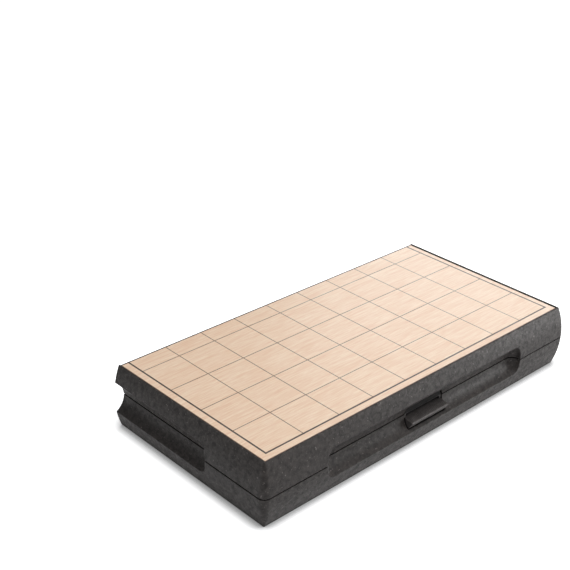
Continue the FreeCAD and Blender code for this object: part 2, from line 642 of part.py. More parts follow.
# Latch, drawn in the upper tray's frame
def make_latch():
    body = new_body("latch")
    pivot_y = f"{front_y} + Sizes.latch_pivot_set_in"
    lip_inner = (f"(-Sizes.latch_lip_drop + {lip_fall} * ({web_front} - Sizes.latch_lip_root))")
    lip_outer = "-(Sizes.latch_lip_drop + Sizes.latch_lip_slope)"
    profile = new_sketch(body, "LatchProfile", "YZ_Plane")
    draw_outline(profile, [
        (f"{front_y} + {web_back}", "Sizes.latch_pivot_height"),
        (f"{front_y} + {brow_front}", "Sizes.latch_pivot_height"),
        (f"{front_y} + {brow_front}", "-Sizes.latch_brow_drop"),
        (f"{front_y} + {web_front}", "-Sizes.latch_brow_drop"),
        (f"{front_y} + {web_front}", lip_inner),
        (lip_y, lip_outer),
        (lip_y, f"{lip_outer} - Sizes.latch_lip_thickness"),
        (plate_foot_y, "-Sizes.latch_depth"),
        (f"{front_y} + {web_back}", "-Sizes.latch_depth"),
    ])
    add_feature(body, "Pad", "PlateAndLip", profile, "Sizes.latch_width", "Symmetric")
    add_rounding(body, "LipEdges", "Sizes.latch_lip_round", on_lip_edge)
    for name, start in (("Right", f"{latch_half} - Sizes.latch_cheek_width"),
                        ("Left", f"-{latch_half}")):
        cheek = new_sketch(body, f"{name}CheekProfile", "YZ_Plane", height=start)
        draw_rectangle(cheek, f"{front_y} + {brow_front}", lip_outer, f"{front_y} + {web_front}",
                       "Sizes.latch_pivot_height")
        add_feature(body, "Pad", f"{name}Cheek", cheek, "Sizes.latch_cheek_width")
    barrel = new_sketch(body, "BarrelProfile", "YZ_Plane")
    draw_circle(barrel, pivot_y, "Sizes.latch_pivot_height", "Sizes.latch_barrel_radius")
    add_feature(body, "Pad", "Barrel", barrel, "Sizes.latch_width", "Symmetric")
    nose = new_sketch(body, "NoseProfile", "YZ_Plane")
    draw_circle(nose, f"{front_y} + {web_back}", "-Sizes.latch_nose_height",
                "Sizes.latch_nose_radius")
    add_feature(body, "Pad", "Nose", nose, latch_half, "Symmetric")
    shoulders = new_sketch(body, "ShoulderProfiles", "XZ_Plane")
    barrel_top = "(Sizes.latch_pivot_height + Sizes.latch_barrel_radius)"
    for side in (1, -1):
        inner = negative(f"({latch_half} - Sizes.latch_corner)", side)
        outside = negative(f"({latch_half} + Sizes.overrun)", side)
        draw_outline(shoulders, [
            (inner, barrel_top,
             arc(inner, f"{barrel_top} - Sizes.latch_corner", "Sizes.latch_corner", -side)),
            (negative(latch_half, side), f"{barrel_top} - Sizes.latch_corner"),
            (outside, f"{barrel_top} - Sizes.latch_corner"),
            (outside, f"{barrel_top} + Sizes.overrun"),
            (inner, f"{barrel_top} + Sizes.overrun"),
        ])
    add_feature(body, "Pocket", "Shoulders", shoulders, reach="Symmetric", through=True)
    bore = new_sketch(body, "LatchPinBoreProfile", "YZ_Plane")
    draw_circle(bore, pivot_y, "Sizes.latch_pivot_height",
                "Sizes.latch_pin_radius + Sizes.pin_running_fit")
    add_feature(body, "Pocket", "LatchPinBore", bore, reach="Symmetric", through=True)
    first_rib = f"(-{latch_half} + Sizes.latch_rib_pitch)"
    ridge = new_sketch(body, "RidgeProfile", "YZ_Plane", height=first_rib)
    ridge_start = f"{front_y} + Sizes.latch_lip_root - Sizes.latch_rib_pitch / 2"
    start_height = f"-(Sizes.latch_lip_drop + {lip_fall} * Sizes.latch_rib_pitch / 2)"
    ridge_end = f"{lip_y} + Sizes.latch_rib_pitch / 2"
    end_height = f"{lip_outer} + {lip_fall} * Sizes.latch_rib_pitch / 2"
    draw_outline(ridge, [
        (ridge_start, f"{start_height} - Sizes.latch_rib_height"),
        (ridge_start, f"{start_height} + Sizes.latch_rib_height"),
        (ridge_end, f"{end_height} + Sizes.latch_rib_height"),
        (ridge_end, f"{end_height} - Sizes.latch_rib_height"),
    ])
    rib = add_feature(body, "Pad", "Ridge", ridge, "Sizes.latch_rib_pitch / 2", "Symmetric")
    add_pattern(body, "Ridges", [rib], "floor(Sizes.latch_width / Sizes.latch_rib_pitch) - 1",
                "Sizes.latch_rib_pitch")
    body.setExpression("Placement.Base.z", "Sizes.half_height")
    return body


def on_lip_edge(shape, edge):
    """The two long edges at the front of the latch's lip."""
    middle = edge.CenterOfMass
    return close(middle.y, value(lip_y)) and close(middle.x, 0)


# Playing men, lying in the cells of the lower tray, one kind to a node
shoulder_width_share = 0.84
shoulder_length_share = 0.80
foot_y = f"({cavity_front_y} + Sizes.man_cell_inset)"
magnet_y = f"({foot_y} + Sizes.magnet_place)"
inner_floor = f"({bed_depth} + Sizes.floor_thickness)"


def cell_x(column):
    return f"(-{cavity_half_length} + ({column} + 0.5) * {cell_width})"


def make_men(name, kind, first_column, first_row, count, rows="1"):
    body = new_body(name)
    width, length = f"Sizes.{kind}_width", f"Sizes.{kind}_length"
    middle = cell_x(first_column)
    foot = f"({foot_y} + {first_row} * {cell_depth})"
    shoulder = f"{width} / 2 * {shoulder_width_share}"
    shoulder_y = f"{foot} + {length} * {shoulder_length_share}"
    outline = new_sketch(body, "ManOutline", "XY_Plane", height=inner_floor)
    draw_outline(outline, [
        (f"{middle} - {width} / 2", foot),
        (f"{middle} + {width} / 2", foot),
        (f"{middle} + {shoulder}", shoulder_y),
        (middle, f"{foot} + {length}"),
        (f"{middle} - {shoulder}", shoulder_y),
    ])
    slab = add_feature(body, "Pad", "Slab", outline, "Sizes.man_thickness")
    slope = new_sketch(body, "SlopeProfile", "YZ_Plane", height=middle)
    top = f"{inner_floor} + Sizes.man_thickness"
    draw_outline(slope, [
        (foot, top),
        (f"{foot} + {length}", f"{inner_floor} + Sizes.man_tip_thickness"),
        (f"{foot} + {length}", top),
    ])
    wedge = add_feature(body, "Pocket", "Wedge", slope, width, "Symmetric")
    seat = new_sketch(body, "MagnetSeatOutline", "XY_Plane", height=inner_floor)
    draw_circle(seat, middle, f"{magnet_y} + {first_row} * {cell_depth}",
                "Sizes.magnet_radius + Sizes.magnet_fit")
    pocket = add_feature(body, "Pocket", "MagnetSeat", seat,
                         "Sizes.magnet_thickness + Sizes.magnet_set_back", flip=True)
    if rows == "1":
        add_pattern(body, "Row", [slab, wedge, pocket], count, cell_width)
    else:
        add_pattern(body, "Rows", [slab, wedge, pocket], count, cell_width, count_across=rows,
                    pitch_across=cell_depth)
    return body


def make_magnets():
    body = new_body("piece_magnets")
    outline = new_sketch(body, "MagnetOutline", "XY_Plane",
                         height=f"{inner_floor} + Sizes.magnet_set_back")
    draw_circle(outline, cell_x("0"), magnet_y, "Sizes.magnet_radius")
    disc = add_feature(body, "Pad", "Disc", outline, "Sizes.magnet_thickness")
    add_pattern(body, "Discs", [disc], "Sizes.storage_columns", cell_width,
                count_across="Sizes.storage_rows", pitch_across=cell_depth)
    return body


top_z = "(2 * Sizes.half_height)"
left_station = "(-Sizes.hinge_station)"
parts = [
    make_tray("lower_tray", upper=False),
    make_tray("upper_tray", upper=True),
    make_sheet("lower_playing_sheet", "Sizes.sheet_thickness", "Sizes.sheet_set_back"),
    make_sheet("lower_steel_sheet", "Sizes.steel_thickness",
               "Sizes.sheet_set_back + Sizes.sheet_thickness"),
    make_sheet("upper_playing_sheet", "Sizes.sheet_thickness",
               f"{top_z} - Sizes.sheet_set_back - Sizes.sheet_thickness"),
    make_sheet("upper_steel_sheet", "Sizes.steel_thickness", f"{top_z} - {bed_depth}"),
    make_pin("left_hinge_pin", "Sizes.hinge_pin_radius", station_half, left_station, hinge_y,
             "Sizes.half_height"),
    make_pin("right_hinge_pin", "Sizes.hinge_pin_radius", station_half, "Sizes.hinge_station",
             hinge_y, "Sizes.half_height"),
    make_pin("latch_pin", "Sizes.latch_pin_radius", latch_pin_half, "0",
             f"{front_y} + Sizes.latch_pivot_set_in",
             "Sizes.half_height + Sizes.latch_pivot_height"),
    make_latch(),
    make_men("pawns", "pawn", "0", "0", "9", "2"),
    make_men("kings", "king", "9", "0", "1", "2"),
    make_men("golds", "general", "0", "2", "4"),
    make_men("silvers", "general", "4", "2", "4"),
    make_men("rooks", "major", "8", "2", "2"),
    make_men("knights", "knight", "0", "3", "4"),
    make_men("lances", "lance", "4", "3", "4"),
    make_men("bishops", "major", "8", "3", "2"),
    make_magnets(),
]
doc.recompute()

# Nothing is written unless every object is sound
for item in doc.Objects:
    if "Invalid" in item.State or "Error" in item.State:
        raise RuntimeError(f"{item.Label}: {item.State}")
for part in parts:
    if part.Shape.isNull() or not part.Shape.isValid():
        raise RuntimeError(f"{part.Label}: no sound shape")
for item in doc.Objects:
    base = getattr(item, "BaseFeature", None)
    if base and close(item.Shape.Volume, base.Shape.Volume):
        raise RuntimeError(f"{item.Label}: changes nothing")
for part in parts:
    part.Shape.exportStep(f"parts/{part.Label}.step")
    box = part.Shape.BoundBox
    print(f"{part.Label}: {len(part.Shape.Solids)} solids, volume {part.Shape.Volume:.1f},"
          f" x {box.XMin:.2f}..{box.XMax:.2f} y {box.YMin:.2f}..{box.YMax:.2f}"
          f" z {box.ZMin:.2f}..{box.ZMax:.2f}")
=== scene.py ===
import math

import bmesh
import bpy
from mathutils import Euler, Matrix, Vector


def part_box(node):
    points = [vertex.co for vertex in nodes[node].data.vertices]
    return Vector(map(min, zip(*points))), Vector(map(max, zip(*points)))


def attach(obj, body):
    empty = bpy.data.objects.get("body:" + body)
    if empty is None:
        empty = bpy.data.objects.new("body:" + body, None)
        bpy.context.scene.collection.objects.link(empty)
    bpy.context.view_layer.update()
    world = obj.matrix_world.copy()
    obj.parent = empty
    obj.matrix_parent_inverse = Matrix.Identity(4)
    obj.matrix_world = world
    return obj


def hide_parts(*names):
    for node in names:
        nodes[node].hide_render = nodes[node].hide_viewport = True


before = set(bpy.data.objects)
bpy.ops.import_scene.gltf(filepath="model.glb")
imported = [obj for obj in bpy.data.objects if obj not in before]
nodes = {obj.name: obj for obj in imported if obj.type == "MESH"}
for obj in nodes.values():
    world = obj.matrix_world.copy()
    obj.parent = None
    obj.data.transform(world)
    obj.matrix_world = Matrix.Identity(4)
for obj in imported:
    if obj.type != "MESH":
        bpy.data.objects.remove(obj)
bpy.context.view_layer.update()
print("frame loaded:", len(nodes), "CAD nodes")

# Camera, at the photograph's viewing angle
cameraLook = {
    "place": (-0.439513, -0.403306, 0.379265),
    "turn": (62.7479, -1.2502, -42.9443),  # degrees, XYZ
    "lens": 72.170,
    "sensor": 36.0,
    "clipStart": 0.01,
}
cameraData = bpy.data.cameras.new("boardCamera")
cameraData.sensor_width = cameraLook["sensor"]
cameraData.lens = cameraLook["lens"]
cameraData.clip_start = cameraLook["clipStart"]
camera = bpy.data.objects.new("boardCamera", cameraData)
camera.location = cameraLook["place"]
camera.rotation_euler = Euler([math.radians(angle) for angle in cameraLook["turn"]], "XYZ")
bpy.context.scene.collection.objects.link(camera)
bpy.context.scene.camera = camera
bpy.context.scene.view_settings.view_transform = "Standard"
print("camera set")


# Helpers for shader nodes
def addNode(tree, kind, inputs=None, **settings):
    node = tree.nodes.new(kind)
    for name, setting in settings.items():
        setattr(node, name, setting)
    for name, given in (inputs or {}).items():
        feed(tree, given, node.inputs[name])
    return node


def feed(tree, given, socket):
    # a socket is linked, anything else is set as the constant
    if isinstance(given, bpy.types.NodeSocket):
        tree.links.new(given, socket)
    else:
        socket.default_value = given


def calc(tree, operation, *given, clamp=False):
    node = addNode(tree, "ShaderNodeMath", operation=operation, use_clamp=clamp)
    for socket, number in zip(node.inputs, given):
        feed(tree, number, socket)
    return node.outputs[0]


def remap(tree, given, low, high, toLow=0.0, toHigh=1.0):
    node = addNode(tree, "ShaderNodeMapRange",
                   {"Value": given, "From Min": low, "From Max": high, "To Min": toLow, "To Max": toHigh})
    return node.outputs["Result"]


def tint(tree, share, first, second):
    # the Mix node's sockets go by number, since its colour and number sockets share their names
    node = addNode(tree, "ShaderNodeMix", data_type="RGBA")
    for number, given in ((0, share), (6, first), (7, second)):
        feed(tree, given, node.inputs[number])
    return node.outputs[2]


def noise(tree, where, scale, detail=2.0, roughness=0.5, distortion=0.0):
    node = addNode(tree, "ShaderNodeTexNoise", {
        "Vector": where, "Scale": scale, "Detail": detail, "Roughness": roughness,
        "Distortion": distortion})
    return node.outputs["Fac"]


def ownPlace(tree):
    return addNode(tree, "ShaderNodeTexCoord").outputs["Object"]


def srgb(red, green, blue):
    # display colour, 0 to 255, as the linear colour that Blender's sockets hold
    linear = []
    for part in (red, green, blue):
        share = part / 255
        linear.append(share / 12.92 if share <= 0.04045 else ((share + 0.055) / 1.055) ** 2.4)
    return (*linear, 1.0)


black = (0.0, 0.0, 0.0, 1.0)
white = (1.0, 1.0, 1.0, 1.0)


def newGroup(name, takes, gives):
    tree = bpy.data.node_groups.new(name, "ShaderNodeTree")
    for label, (kind, start) in takes.items():
        socket = tree.interface.new_socket(name=label, in_out="INPUT", socket_type=f"NodeSocket{kind}")
        socket.default_value = start
    for label, kind in gives.items():
        tree.interface.new_socket(name=label, in_out="OUTPUT", socket_type=f"NodeSocket{kind}")
    return tree, tree.nodes.new("NodeGroupInput").outputs, tree.nodes.new("NodeGroupOutput").inputs


def place(tree, group, **given):
    # an instance of a shared group, with its values by their names without spaces
    node = addNode(tree, "ShaderNodeGroup", node_tree=group)
    for socket in node.inputs:
        label = socket.name.replace(" ", "")
        label = label[0].lower() + label[1:]
        if label in given:
            feed(tree, given[label], socket)
    return node.outputs


def newMaterial(name):
    material = bpy.data.materials.new(name)
    material.use_nodes = True
    tree = material.node_tree
    tree.nodes.clear()
    surface = addNode(tree, "ShaderNodeBsdfPrincipled")
    output = addNode(tree, "ShaderNodeOutputMaterial")
    tree.links.new(surface.outputs["BSDF"], output.inputs["Surface"])
    return material, tree, surface.inputs


# Shared effects
grainShape = {
    "fineDetail": 3.0,
    "fineRoughness": 0.6,
    "pitShare": 0.6,
    "mottleDetail": 4.0,
    "mottleRoughness": 0.65,
    "mottleDistortion": 0.6,
    "mottleRange": (0.32, 0.68),
    "speckScale": 0.45,  # of the grain's own scale
    "speckDetail": 1.0,
    "speckRange": (0.68, 0.78),
}
wearShape = {
    "facingRange": (0.995, 0.86),  # flat, and fully at an edge
    "patchDetail": 3.0,
    "patchRange": (0.35, 0.62),
    "samples": 4,
}
streakShape = {
    "swayScale": 14.0,
    "swayDetail": 1.0,
    "swayReach": 0.01,
    "detail": 3.0,
    "roughness": 0.55,
}


def makeMouldedGrain():
    # fine spark-eroded texture of a mould, with broad mottling and a few pale specks of dust
    tree, given, result = newGroup("mouldedGrain", {
        "Grain Size": ("Float", 0.0004),
        "Mottle Size": ("Float", 0.004),
        "Speck Amount": ("Float", 0.5),
    }, {"Height": "Float", "Mottle": "Float", "Specks": "Float"})
    where = ownPlace(tree)
    grainScale = calc(tree, "DIVIDE", 1.0, given["Grain Size"])
    fine = noise(tree, where, grainScale, grainShape["fineDetail"], grainShape["fineRoughness"])
    pits = addNode(tree, "ShaderNodeTexVoronoi", {"Vector": where, "Scale": grainScale},
                   feature="SMOOTH_F1")
    height = calc(tree, "MULTIPLY_ADD", pits.outputs["Distance"], grainShape["pitShare"], fine)
    feed(tree, height, result["Height"])
    mottleScale = calc(tree, "DIVIDE", 1.0, given["Mottle Size"])
    broad = noise(tree, where, mottleScale, grainShape["mottleDetail"], grainShape["mottleRoughness"],
                  grainShape["mottleDistortion"])
    feed(tree, remap(tree, broad, *grainShape["mottleRange"]), result["Mottle"])
    speckScale = calc(tree, "MULTIPLY", grainScale, grainShape["speckScale"])
    dots = noise(tree, where, speckScale, grainShape["speckDetail"])
    specks = calc(tree, "MULTIPLY", remap(tree, dots, *grainShape["speckRange"]), given["Speck Amount"])
    feed(tree, specks, result["Specks"])
    return tree


def makeEdgeWear():
    # how much an edge is rubbed, uneven along it
    tree, given, result = newGroup("edgeWear", {
        "Reach": ("Float", 0.0006),
        "Unevenness": ("Float", 0.6),
        "Patch Size": ("Float", 0.008),
    }, {"Wear": "Float"})
    rounded = addNode(tree, "ShaderNodeBevel", {"Radius": given["Reach"]}, samples=wearShape["samples"])
    flat = addNode(tree, "ShaderNodeNewGeometry").outputs["Normal"]
    facing = addNode(tree, "ShaderNodeVectorMath", {0: rounded.outputs["Normal"], 1: flat},
                     operation="DOT_PRODUCT").outputs["Value"]
    edge = remap(tree, facing, *wearShape["facingRange"])
    patchScale = calc(tree, "DIVIDE", 1.0, given["Patch Size"])
    patches = noise(tree, ownPlace(tree), patchScale, wearShape["patchDetail"])
    leastWear = calc(tree, "SUBTRACT", 1.0, given["Unevenness"])
    uneven = remap(tree, patches, *wearShape["patchRange"], leastWear, 1.0)
    feed(tree, calc(tree, "MULTIPLY", edge, uneven, clamp=True), result["Wear"])
    return tree


def makeStreaks():
    # marks that run along the object's X axis: wood fibres, or the drawing marks of steel
    tree, given, result = newGroup("streaks", {
        "Length": ("Float", 0.02),
        "Width": ("Float", 0.001),
        "Waviness": ("Float", 0.3),
        "Seed": ("Float", 0.0),
    }, {"Streak": "Float"})
    where = ownPlace(tree)
    sway = noise(tree, where, streakShape["swayScale"], streakShape["swayDetail"])
    swayed = calc(tree, "MULTIPLY", calc(tree, "SUBTRACT", sway, 0.5),
                  calc(tree, "MULTIPLY", given["Waviness"], streakShape["swayReach"]))
    parts = addNode(tree, "ShaderNodeSeparateXYZ", {"Vector": where}).outputs
    moved = addNode(tree, "ShaderNodeCombineXYZ", {
        "X": calc(tree, "DIVIDE", parts["X"], given["Length"]),
        "Y": calc(tree, "DIVIDE", calc(tree, "ADD", parts["Y"], swayed), given["Width"]),
        "Z": calc(tree, "ADD", calc(tree, "DIVIDE", parts["Z"], given["Width"]), given["Seed"]),
    }).outputs["Vector"]
    streak = noise(tree, moved, 1.0, streakShape["detail"], streakShape["roughness"])
    feed(tree, streak, result["Streak"])
    return tree


mouldedGrain = makeMouldedGrain()
edgeWear = makeEdgeWear()
streaks = makeStreaks()
print("shared effects made")

# Moulded plastic of the trays and the latch
trayFinish = {
    "dark": (0.0122, 0.01, 0.009, 1.0),
    "light": (0.046, 0.0386, 0.0354, 1.0),
    "speck": (0.17, 0.15, 0.145, 1.0),
    "worn": (0.07, 0.062, 0.059, 1.0),
    "grainSize": 0.0006,
    "grainDepth": 0.00011,
    "mottleSize": 0.0026,
    "speckAmount": 0.6,
    "roughness": (0.38, 0.6),
    "shine": 0.3,
    "wear": 0.3,
    "wearReach": 0.0005,
    "wearUnevenness": 0.7,
    "wearPatch": 0.008,
    "creviceReach": 0.0025,  # painted shade: narrow gaps are darkened towards black, and made dull
    "creviceRange": (0.3, 0.62),  # how open a gap is where it is darkest, and where it is dark no more
    "creviceLeft": 0.08,  # share of the colour left in the darkest painted shade
    "creviceSamples": 6,
}
latchFinish = {
    **trayFinish,
    # painted light: the latch's colours are lighter than the trays' same plastic, to brighten its lip
    "dark": (0.06, 0.054, 0.052, 1.0),
    "light": (0.11, 0.1, 0.097, 1.0),
    "grainSize": 0.00045,
    "roughness": (0.42, 0.56),
    "creviceReach": 0.0028,
    "dullAbove": (0.01995, 0.02015),  # height over which the latch's plate gets painted shade, darker and also duller
    # share of the colour left on the plate under its painted shade
    "dullLeft": 0.14,
}


def makePlastic(name, finish):
    material, tree, surface = newMaterial(name)
    grain = place(tree, mouldedGrain, grainSize=finish["grainSize"], mottleSize=finish["mottleSize"],
                  speckAmount=finish["speckAmount"])
    wear = place(tree, edgeWear, reach=finish["wearReach"], unevenness=finish["wearUnevenness"],
                 patchSize=finish["wearPatch"])["Wear"]
    body = tint(tree, grain["Mottle"], finish["dark"], finish["light"])
    dusty = tint(tree, grain["Specks"], body, finish["speck"])
    rubbed = tint(tree, calc(tree, "MULTIPLY", wear, finish["wear"]), dusty, finish["worn"])
    # painted shade: ambient occlusion darkens the colour in narrow gaps, where shade falls
    openness = addNode(tree, "ShaderNodeAmbientOcclusion", {"Distance": finish["creviceReach"]},
                       samples=finish["creviceSamples"]).outputs["AO"]
    unshaded = remap(tree, openness, *finish["creviceRange"], finish["creviceLeft"], 1.0)
    # painted shade: the latch's plate above the lip is darkened, as if in the hollow's shadow
    if "dullAbove" in finish:
        height = addNode(tree, "ShaderNodeSeparateXYZ", {"Vector": ownPlace(tree)}).outputs["Z"]
        plate = remap(tree, height, *finish["dullAbove"], 1.0, finish["dullLeft"])
        unshaded = calc(tree, "MULTIPLY", unshaded, plate)
    # the painted shade mask turns the base colour towards black
    feed(tree, tint(tree, unshaded, black, rubbed), surface["Base Color"])
    shiny, matt = finish["roughness"]
    polish = remap(tree, grain["Mottle"], 0.0, 1.0, matt, shiny)
    feed(tree, remap(tree, unshaded, 0.0, 1.0, 1.0, polish), surface["Roughness"])
    surface["Specular IOR Level"].default_value = finish["shine"]
    bump = addNode(tree, "ShaderNodeBump", {"Height": grain["Height"], "Distance": finish["grainDepth"]})
    feed(tree, bump.outputs["Normal"], surface["Normal"])
    return material


trayPlastic = makePlastic("trayPlastic", trayFinish)
latchPlastic = makePlastic("latchPlastic", latchFinish)
for name in ("lower_tray", "upper_tray"):
    nodes[name].material_slots[0].material = trayPlastic
nodes["latch"].material_slots[0].material = latchPlastic
print("trays and latch finished")

# Printed playing sheets: a wood print with the board's lines, under a thin film
sheetPrint = {
    "pale": srgb(244, 221, 196),
    "middle": srgb(238, 211, 184),
    "pink": srgb(226, 184, 154),
    "tan": srgb(230, 197, 166),
    "line": srgb(34, 12, 5),
    "thinLine": srgb(56, 34, 17),
    "cutEdge": srgb(104, 62, 46),
    "layers": {  # of the wood print, from faint bands down to straight fibres and short pores
        "bands": {"colour": "middle", "length": 0.06, "width": 0.006, "waviness": 0.2, "seed": 0.0,
                  "range": (0.3, 0.7), "strength": 0.6},
        "fibres": {"colour": "pink", "length": 0.014, "width": 0.0009, "waviness": 0.04, "seed": 3.0,
                   "range": (0.4, 0.7), "strength": 0.85},
        "threads": {"colour": "tan", "length": 0.009, "width": 0.0005, "waviness": 0.03, "seed": 7.0,
                    "range": (0.42, 0.7), "strength": 0.85},
        "pores": {"colour": "pink", "length": 0.004, "width": 0.00028, "waviness": 0.02, "seed": 11.0,
                  "range": (0.52, 0.72), "strength": 0.45},
    },
    "halfWidth": 0.1188,  # of the grid, from the middle to its outer line
    "frontMargin": 0.0049,  # from the sheet's front edge to the outer line
    "columnPitch": 0.0264,
    "rowPitch": 0.0259,
    "thickLine": 0.00112,
    "fineLine": 0.0005,
    "blur": 0.00007,
    "inkGrain": 900.0,
    "inkRange": (0.3, 0.7),
    "thinInkLeast": 0.82,
    "thickInkLeast": 0.9,
    "edgeWidth": 0.0004,  # of the cut edge
    "edgeSolid": 1 / 3,  # share of that width, from which the edge fades inward
    "edgeStrength": 0.85,
    "filmRange": (0.3, 0.7),
    "roughness": (0.28, 0.38),
    "inkRoughness": 0.06,  # more than the film beside it
    "shine": 0.9,
    "reliefGrain": 350.0,
    "reliefDetail": 3.0,
    "threadRelief": 0.5,
    "reliefDepth": 0.000012,
    "edgeRoll": 0.00012,
    "edgeSegments": 2,
    "meshColumns": 18,
    "meshRows": 9,
}


def nearLine(tree, distance, width, blur):
    # 1 on a line, 0 beside it
    half = width / 2
    return remap(tree, distance, half + blur, half - blur)


def drawLines(tree, look, across, along, front):
    # masks of the outer and the inner lines; front is the sheet's front edge
    fromMiddle = calc(tree, "ABSOLUTE", across)
    fromFront = calc(tree, "SUBTRACT", along, front + look["frontMargin"])
    toSide = calc(tree, "ABSOLUTE", calc(tree, "SUBTRACT", fromMiddle, look["halfWidth"]))
    toFront = calc(tree, "ABSOLUTE", fromFront)
    blur = look["blur"]
    half = look["thickLine"] / 2
    within = calc(tree, "MULTIPLY", remap(tree, fromMiddle, look["halfWidth"] + half + blur,
                                          look["halfWidth"] + half - blur),
                  remap(tree, fromFront, -half - blur, -half + blur))
    sideLine = nearLine(tree, toSide, look["thickLine"], blur)
    frontLine = nearLine(tree, toFront, look["thickLine"], blur)
    outer = calc(tree, "MULTIPLY", calc(tree, "MAXIMUM", sideLine, frontLine), within)
    fromSide = calc(tree, "ADD", across, look["halfWidth"])
    toColumn = calc(tree, "PINGPONG", fromSide, look["columnPitch"] / 2)
    toRow = calc(tree, "PINGPONG", fromFront, look["rowPitch"] / 2)
    inner = calc(tree, "MULTIPLY", nearLine(tree, calc(tree, "MINIMUM", toColumn, toRow),
                                            look["fineLine"], blur), within)
    return outer, inner


def makeSheetMaterial(name, look, box):
    material, tree, surface = newMaterial(name)
    low, high = box
    where = ownPlace(tree)
    parts = addNode(tree, "ShaderNodeSeparateXYZ", {"Vector": where}).outputs
    across, along = parts["X"], parts["Y"]
    outer, inner = drawLines(tree, look, across, along, low.y)
    wood = look["pale"]
    marks = {}
    for label, layer in look["layers"].items():
        marks[label] = place(tree, streaks, length=layer["length"], width=layer["width"],
                             waviness=layer["waviness"], seed=layer["seed"])["Streak"]
        share = calc(tree, "MULTIPLY", remap(tree, marks[label], *layer["range"]), layer["strength"])
        wood = tint(tree, share, wood, look[layer["colour"]])
    ink = noise(tree, where, look["inkGrain"])
    inked = wood
    for lines, least, colour in ((inner, look["thinInkLeast"], look["thinLine"]),
                                 (outer, look["thickInkLeast"], look["line"])):
        share = calc(tree, "MULTIPLY", lines, remap(tree, ink, *look["inkRange"], least, 1.0))
        inked = tint(tree, share, inked, colour)
    # the cut edge shows round the outside, except along the hinge
    toSides = calc(tree, "MINIMUM", calc(tree, "SUBTRACT", high.x, across),
                   calc(tree, "SUBTRACT", across, low.x))
    toEdge = calc(tree, "MINIMUM", toSides, calc(tree, "SUBTRACT", along, low.y))
    cut = remap(tree, toEdge, look["edgeWidth"], look["edgeWidth"] * look["edgeSolid"])
    edged = tint(tree, calc(tree, "MULTIPLY", cut, look["edgeStrength"]), inked, look["cutEdge"])
    feed(tree, edged, surface["Base Color"])
    film = remap(tree, marks["fibres"], *look["filmRange"], *look["roughness"])
    printed = calc(tree, "MAXIMUM", inner, outer)
    feed(tree, calc(tree, "MULTIPLY_ADD", printed, look["inkRoughness"], film), surface["Roughness"])
    surface["Specular IOR Level"].default_value = look["shine"]
    paper = noise(tree, where, look["reliefGrain"], look["reliefDetail"])
    relief = calc(tree, "MULTIPLY_ADD", marks["threads"], look["threadRelief"], paper)
    bump = addNode(tree, "ShaderNodeBump", {"Height": relief, "Distance": look["reliefDepth"]})
    feed(tree, bump.outputs["Normal"], surface["Normal"])
    return material


def makeSheet(name, node, body, look, material):
    # thin slab with softly rolled cut edges, its faces divided so that it isn't one bare block
    low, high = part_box(node)
    columns, rows = look["meshColumns"], look["meshRows"]
    mesh = bpy.data.meshes.new(name)
    made = bmesh.new()
    grid = [[made.verts.new((low.x + (high.x - low.x) * column / columns,
                             low.y + (high.y - low.y) * row / rows, low.z))
             for column in range(columns + 1)] for row in range(rows + 1)]
    faces = [made.faces.new((grid[row][column], grid[row][column + 1], grid[row + 1][column + 1],
                             grid[row + 1][column]))
             for row in range(rows) for column in range(columns)]
    raised = bmesh.ops.extrude_face_region(made, geom=faces)
    lifted = [item for item in raised["geom"] if isinstance(item, bmesh.types.BMVert)]
    bmesh.ops.translate(made, verts=lifted, vec=(0, 0, high.z - low.z))
    bmesh.ops.recalc_face_normals(made, faces=made.faces)
    made.to_mesh(mesh)
    made.free()
    sheet = bpy.data.objects.new(name, mesh)
    bpy.context.scene.collection.objects.link(sheet)
    mesh.materials.append(material)
    bevel = sheet.modifiers.new("rolledEdge", "BEVEL")
    bevel.width = look["edgeRoll"]
    bevel.segments = look["edgeSegments"]
    bevel.limit_method = "ANGLE"
    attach(sheet, body)
    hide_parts(node)


sheetMaterial = makeSheetMaterial("woodPrint", sheetPrint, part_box("upper_playing_sheet"))
makeSheet("upperPrintedSheet", "upper_playing_sheet", "upper", sheetPrint, sheetMaterial)
makeSheet("lowerPrintedSheet", "lower_playing_sheet", "lower", sheetPrint, sheetMaterial)
print("printed sheets made")

# Steel: the sheets under the print, and the pins
steelLook = {
    "sheet": {"dark": (0.36, 0.37, 0.38, 1.0), "light": (0.52, 0.53, 0.54, 1.0),
              "length": 0.05, "width": 0.0006, "depth": 0.000006, "range": (0.35, 0.65),
              "roughness": (0.32, 0.46)},
    "pin": {"dark": (0.42, 0.42, 0.42, 1.0), "light": (0.6, 0.6, 0.59, 1.0),
            "length": 0.012, "width": 0.0002, "depth": 0.000006, "range": (0.35, 0.65),
            "roughness": (0.2, 0.32)},
}


def makeSteel(name, look):
    material, tree, surface = newMaterial(name)
    marks = place(tree, streaks, length=look["length"], width=look["width"], waviness=0.0)["Streak"]
    shade = remap(tree, marks, *look["range"])
    feed(tree, tint(tree, shade, look["dark"], look["light"]), surface["Base Color"])
    feed(tree, remap(tree, shade, 0.0, 1.0, *look["roughness"]), surface["Roughness"])
    surface["Metallic"].default_value = 1.0
    bump = addNode(tree, "ShaderNodeBump", {"Height": marks, "Distance": look["depth"]})
    feed(tree, bump.outputs["Normal"], surface["Normal"])
    return material


sheetSteel = makeSteel("sheetSteel", steelLook["sheet"])
pinSteel = makeSteel("pinSteel", steelLook["pin"])
for name in ("lower_steel_sheet", "upper_steel_sheet"):
    nodes[name].material_slots[0].material = sheetSteel
for name in ("left_hinge_pin", "right_hinge_pin", "latch_pin"):
    nodes[name].material_slots[0].material = pinSteel

